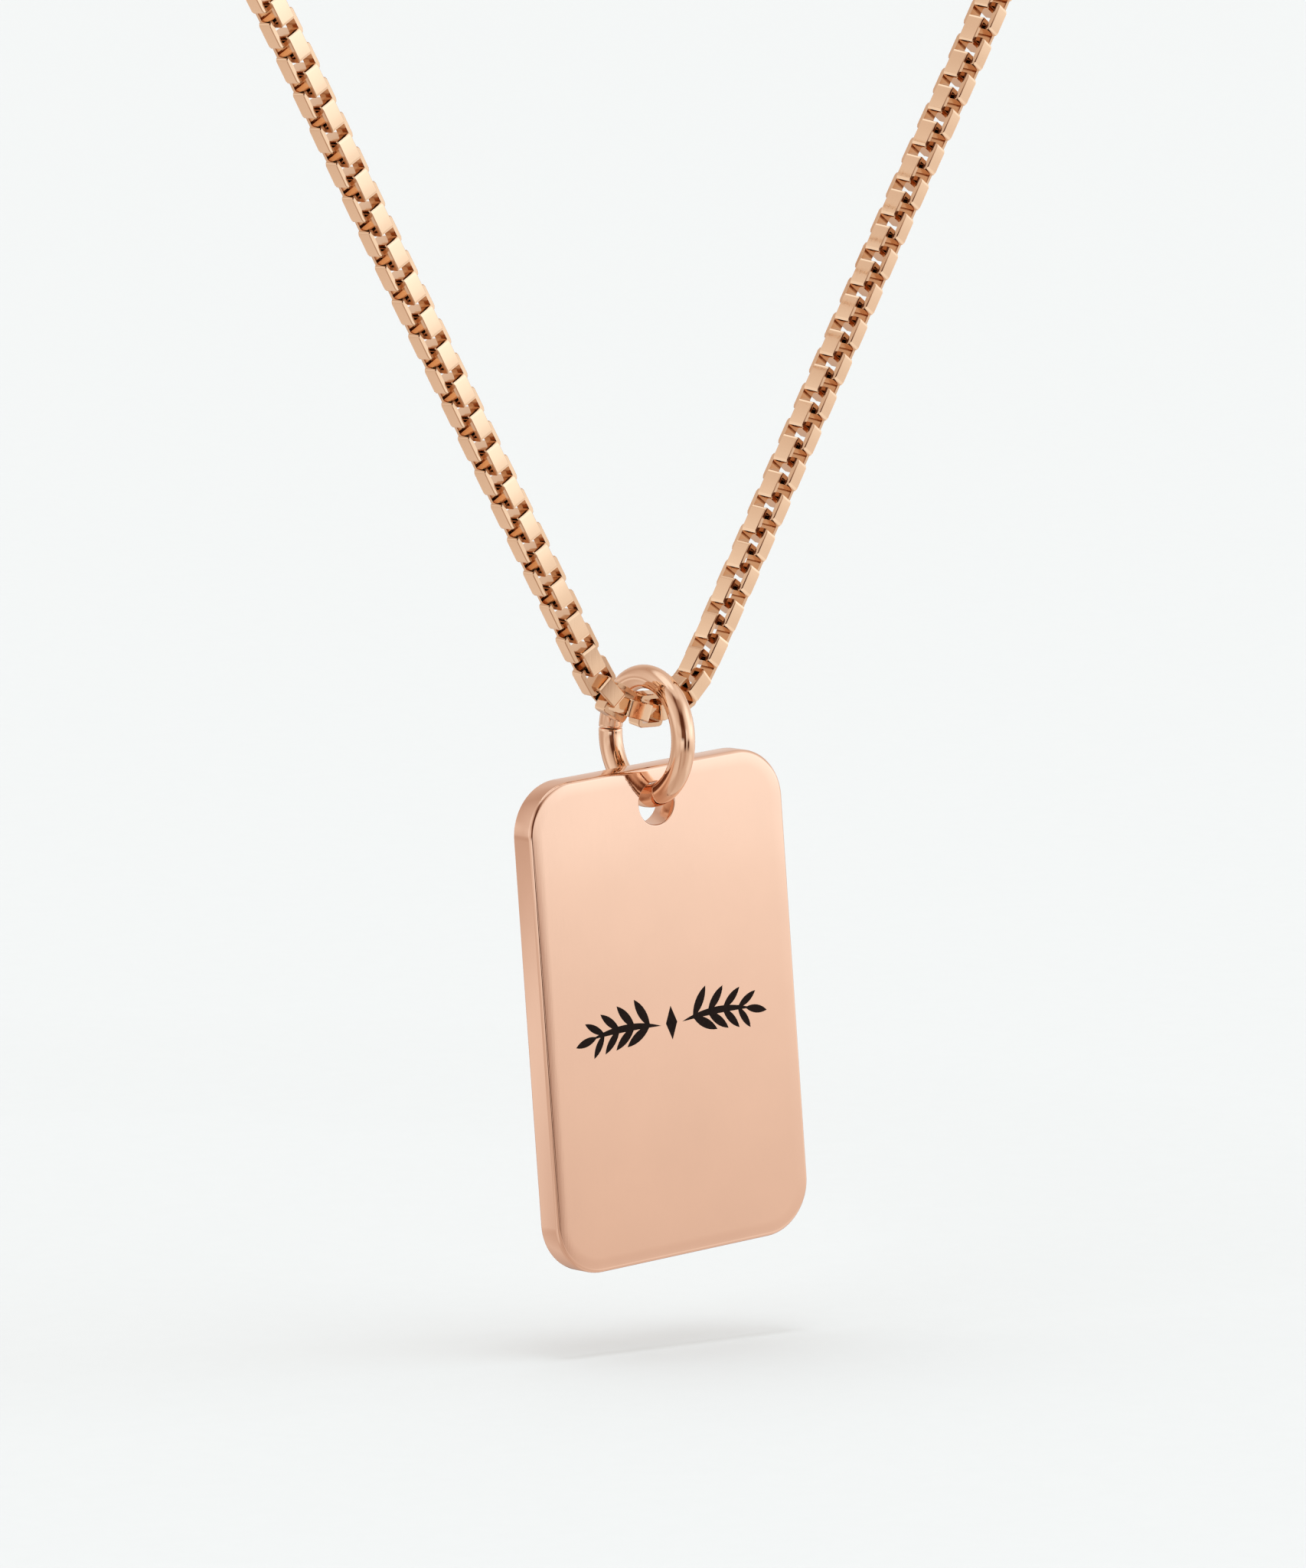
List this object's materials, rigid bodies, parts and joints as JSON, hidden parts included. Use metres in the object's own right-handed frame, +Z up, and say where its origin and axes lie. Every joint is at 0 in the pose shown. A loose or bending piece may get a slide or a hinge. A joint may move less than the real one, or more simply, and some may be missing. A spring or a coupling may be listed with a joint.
{
  "type": "nameplate necklace",
  "caption": "Flat upright tag plate with rounded corners and an engraved leaf sprig, hung by a jump ring on a fine box chain that closes at the nape.",
  "frame": {"origin": "on the back of the neck, where the clasp touches it at the top of the loop", "axes": "+Z up, the plate hangs with its engraved face towards -Y, +X to the right as that face is seen"},
  "size_m": [0.1061, 0.1088, 0.1458],
  "materials": {
    "plate_gold": "polished rose gold",
    "ring_gold": "polished rose gold",
    "chain_gold": "polished rose gold",
    "clasp_gold": "polished rose gold",
    "black_fill": "black enamel"
  },
  "bodies": {
    "chain": {"front_chain": "chain_gold", "back_chain": "chain_gold", "clasp": "clasp_gold"},
    "ring": {"jump_ring": "ring_gold"},
    "pendant": {"tag_plate": "plate_gold", "engraving_fill": "black_fill"}
  },
  "joints": [
    {"name": "ring_swing", "type": "hinge", "parent": "chain", "child": "ring", "pos_m": [0, -0.102, -0.116], "axis": [1, 0, 0], "range_deg": [-75, 75]},
    {"name": "plate_swing", "type": "hinge", "parent": "ring", "child": "pendant", "pos_m": [0, -0.102, -0.12037], "axis": [0, 1, 0], "range_deg": [-27.5, 36.5]}
  ]
}
